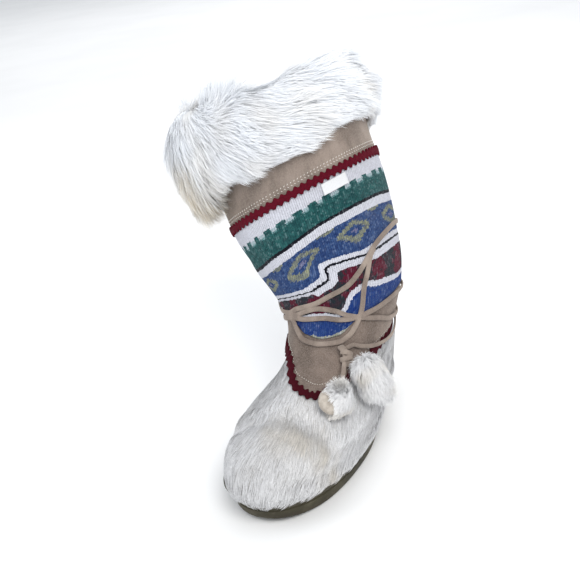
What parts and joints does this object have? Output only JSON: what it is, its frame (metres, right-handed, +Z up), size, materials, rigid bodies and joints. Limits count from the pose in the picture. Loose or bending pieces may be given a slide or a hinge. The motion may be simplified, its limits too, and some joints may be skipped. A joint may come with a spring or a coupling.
{
  "type": "apres-ski boot",
  "caption": "Left apres-ski boot with a hair-on hide foot, patterned knit leg, suede ankle and top band, wavy braids, long fur collar, wound suede lace with fur pompoms and a rubber cup sole.",
  "frame": {"origin": "on the floor, at the centre of the flat spot under the heel", "axes": "+Z up from the floor, toe towards -Y, outer side of the left foot towards +X"},
  "size_m": [0.249, 0.3547, 0.3339],
  "materials": {
    "hide": "short white and grey hair-on hide, combed to the toe",
    "suede": "matt taupe suede with a short nap",
    "knit": "wool knit with level bands of a folk pattern",
    "braid": "dark red wavy woven braid",
    "fur": "long white fur",
    "lace": "flat taupe suede thong",
    "sole_rubber": "matt dark olive-brown rubber",
    "felt": "cream felt",
    "ribbon": "white woven ribbon, blank"
  },
  "bodies": {
    "root": {"upper": "hide", "insole": "felt", "outsole": "sole_rubber", "ankle_panel": "suede", "knit_sleeve": "knit", "top_band": "suede", "lower_braid": "braid", "upper_braid": "braid", "fur_collar": "fur", "lace_wraps": "lace", "lace_knot": "lace", "lace_end_front": "lace", "lace_end_side": "lace", "pompom_front": "fur", "pompom_side": "fur", "label": "ribbon"}
  },
  "joints": []
}
